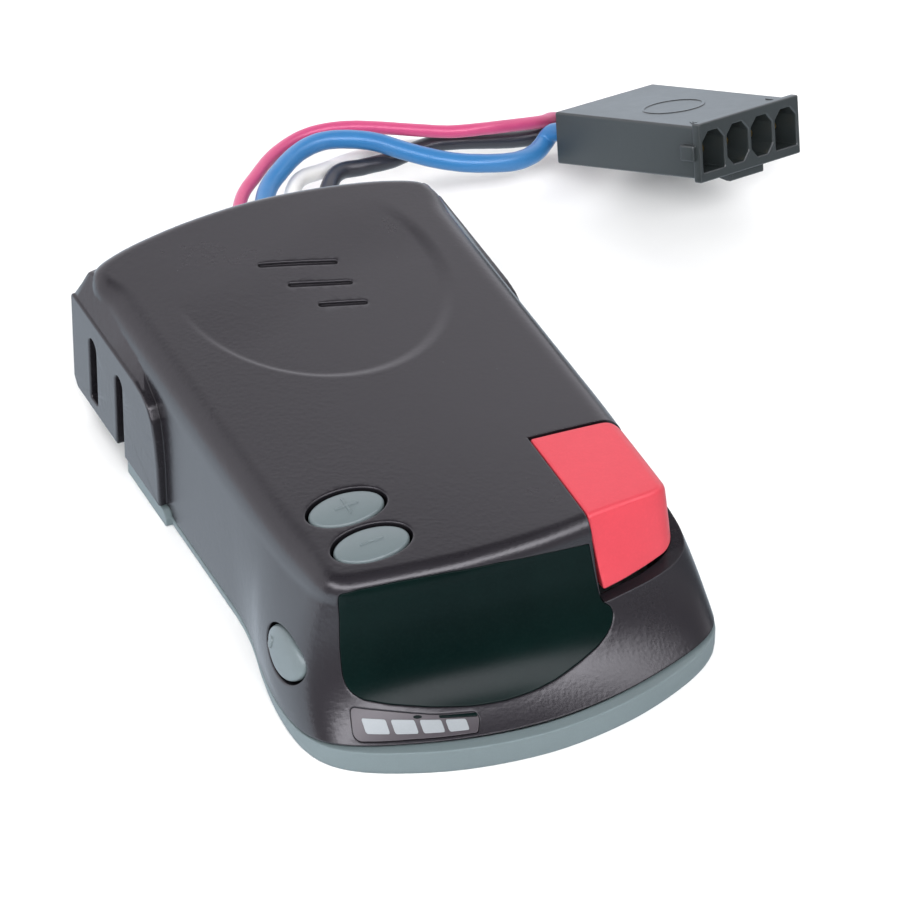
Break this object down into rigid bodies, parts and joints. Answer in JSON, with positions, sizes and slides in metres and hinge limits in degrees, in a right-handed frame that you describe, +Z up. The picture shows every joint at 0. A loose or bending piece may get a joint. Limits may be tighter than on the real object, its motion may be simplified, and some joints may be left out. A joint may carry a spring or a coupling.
{
  "type": "trailer brake controller",
  "caption": "In-cab trailer brake controller with a smoked display window, two gain buttons, a side button, a hinged override paddle and a four-wire harness with an in-line connector.",
  "frame": {"origin": "middle of the flat underside of the case", "axes": "+Z up out of the top face, -Y towards the driver (display end), +X towards the side with the override paddle"},
  "size_m": [0.132, 0.1467, 0.027],
  "materials": {
    "housing": "fine moulded grain",
    "tray": "satin",
    "smoked_window": "polished",
    "label": "satin",
    "button": "satin",
    "paddle": "satin",
    "steel": "bright",
    "blue_plastic": "satin",
    "white_plastic": "satin",
    "board": "solder mask",
    "black_plastic": "satin",
    "aluminium": "extruded",
    "capacitor_sleeve": "sleeve",
    "copper_alloy": "satin",
    "rubber": "matt",
    "wire_pink_red": "extruded",
    "wire_blue": "extruded",
    "wire_white": "extruded",
    "wire_black": "extruded",
    "connector": "moulded",
    "brass": "stamped"
  },
  "bodies": {
    "case": {"upper_housing": "housing", "base_cover": "tray", "display_lens": "smoked_window", "front_label": "label", "paddle_spring": "steel", "potentiometer_body": "blue_plastic", "main_board": "board", "button_board": "board", "display_board": "board", "display_module": "black_plastic", "up_switch": "black_plastic", "down_switch": "black_plastic", "side_switch": "black_plastic", "microcontroller": "black_plastic", "motion_sensor": "black_plastic", "mosfet_a": "black_plastic", "mosfet_b": "black_plastic", "heat_sink": "aluminium", "capacitor": "capacitor_sleeve", "shunt_resistor": "copper_alloy", "board_screw_1": "steel", "board_screw_2": "steel", "board_screw_3": "steel", "button_board_screw_1": "steel", "button_board_screw_2": "steel", "base_screw_1": "steel", "base_screw_2": "steel", "base_screw_3": "steel", "base_screw_4": "steel", "wire_grommet": "rubber", "wire_red": "wire_pink_red", "wire_blue": "wire_blue", "wire_white": "wire_white", "wire_black": "wire_black", "connector_housing": "connector", "contact_1": "brass", "contact_2": "brass", "contact_3": "brass", "contact_4": "brass"},
    "gain_up": {"gain_up_button": "button", "up_plunger": "black_plastic"},
    "gain_down": {"gain_down_button": "button", "down_plunger": "black_plastic"},
    "side_control": {"side_button": "button", "side_plunger": "black_plastic"},
    "paddle": {"override_paddle": "paddle", "paddle_shaft": "steel", "potentiometer_rotor": "white_plastic"}
  },
  "joints": [
    {"name": "gain_up_press", "type": "slide", "parent": "case", "child": "gain_up", "axis": [0, 0, -1], "range_m": [0, 0.0008]},
    {"name": "gain_down_press", "type": "slide", "parent": "case", "child": "gain_down", "axis": [0, 0, -1], "range_m": [0, 0.0008]},
    {"name": "side_press", "type": "slide", "parent": "case", "child": "side_control", "axis": [1, 0, 0], "range_m": [0, 0.0008]},
    {"name": "paddle_press", "type": "hinge", "parent": "case", "child": "paddle", "pos_m": [0.0215, -0.0215, 0.016], "axis": [1, 0, 0], "range_deg": [0, 3.5]}
  ]
}
